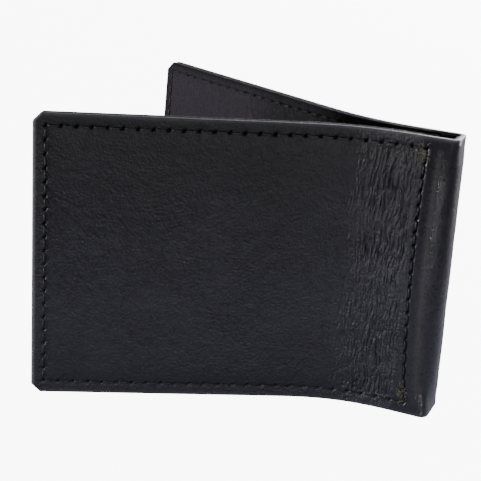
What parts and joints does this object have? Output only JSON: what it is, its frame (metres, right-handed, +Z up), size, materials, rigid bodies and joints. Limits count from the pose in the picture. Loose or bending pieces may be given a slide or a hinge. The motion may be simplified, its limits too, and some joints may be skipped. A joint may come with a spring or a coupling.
{
  "type": "bifold wallet",
  "caption": "Slim leather bifold wallet standing half open on its lower edges, stitched halves with stepped card pockets inside, folding at the spine.",
  "frame": {"origin": "centre of the standing wallet's footprint, on the surface it stands on", "axes": "+Z up the wallet's height, +X from the free edges towards the spine, +Y from the front half towards the back half"},
  "size_m": [0.0968, 0.0782, 0.072],
  "materials": {
    "cover_leather": "satin black leather with a fine grain",
    "inside_leather": "soft black leather, duller than the cover",
    "lining_leather": "thin black lining leather",
    "thread": "waxed black thread"
  },
  "bodies": {
    "spine": {"cover_spine": "cover_leather", "lining_spine": "lining_leather"},
    "front_flank": {"cover_front_flank": "cover_leather", "lining_front": "lining_leather", "backing_front_flank": "inside_leather", "upper_pocket_front_flank": "inside_leather", "lower_pocket_front_flank": "inside_leather", "stitches_front_flank_outside": "thread", "stitches_front_flank_inside": "thread"},
    "front_half": {"cover_front_half": "cover_leather", "backing_front_half": "inside_leather", "upper_pocket_front_half": "inside_leather", "lower_pocket_front_half": "inside_leather", "stitches_front_half_outside": "thread", "stitches_front_half_inside": "thread"},
    "back_flank": {"cover_back_flank": "cover_leather", "lining_back": "lining_leather", "backing_back_flank": "inside_leather", "upper_pocket_back_flank": "inside_leather", "lower_pocket_back_flank": "inside_leather", "stitches_back_flank_outside": "thread", "stitches_back_flank_inside": "thread"},
    "back_half": {"cover_back_half": "cover_leather", "backing_back_half": "inside_leather", "upper_pocket_back_half": "inside_leather", "lower_pocket_back_half": "inside_leather", "stitches_back_half_outside": "thread", "stitches_back_half_inside": "thread"}
  },
  "joints": [
    {"name": "front_fold", "type": "hinge", "parent": "spine", "child": "front_flank", "pos_m": [0.04783, -0.00213, 0.036], "axis": [0, 0, 1], "range_deg": [0, 90]},
    {"name": "front_flex", "type": "hinge", "parent": "front_flank", "child": "front_half", "pos_m": [0.02496, -0.00354, 0.036], "axis": [0, 0, 1], "range_deg": [-28, 10]},
    {"name": "back_fold", "type": "hinge", "parent": "spine", "child": "back_flank", "pos_m": [0.04783, 0.00825, 0.036], "axis": [0, 0, -1], "range_deg": [0, 90]},
    {"name": "back_flex", "type": "hinge", "parent": "back_flank", "child": "back_half", "pos_m": [0.02494, 0.00951, 0.036], "axis": [0, 0, -1], "range_deg": [-23, 10]}
  ]
}
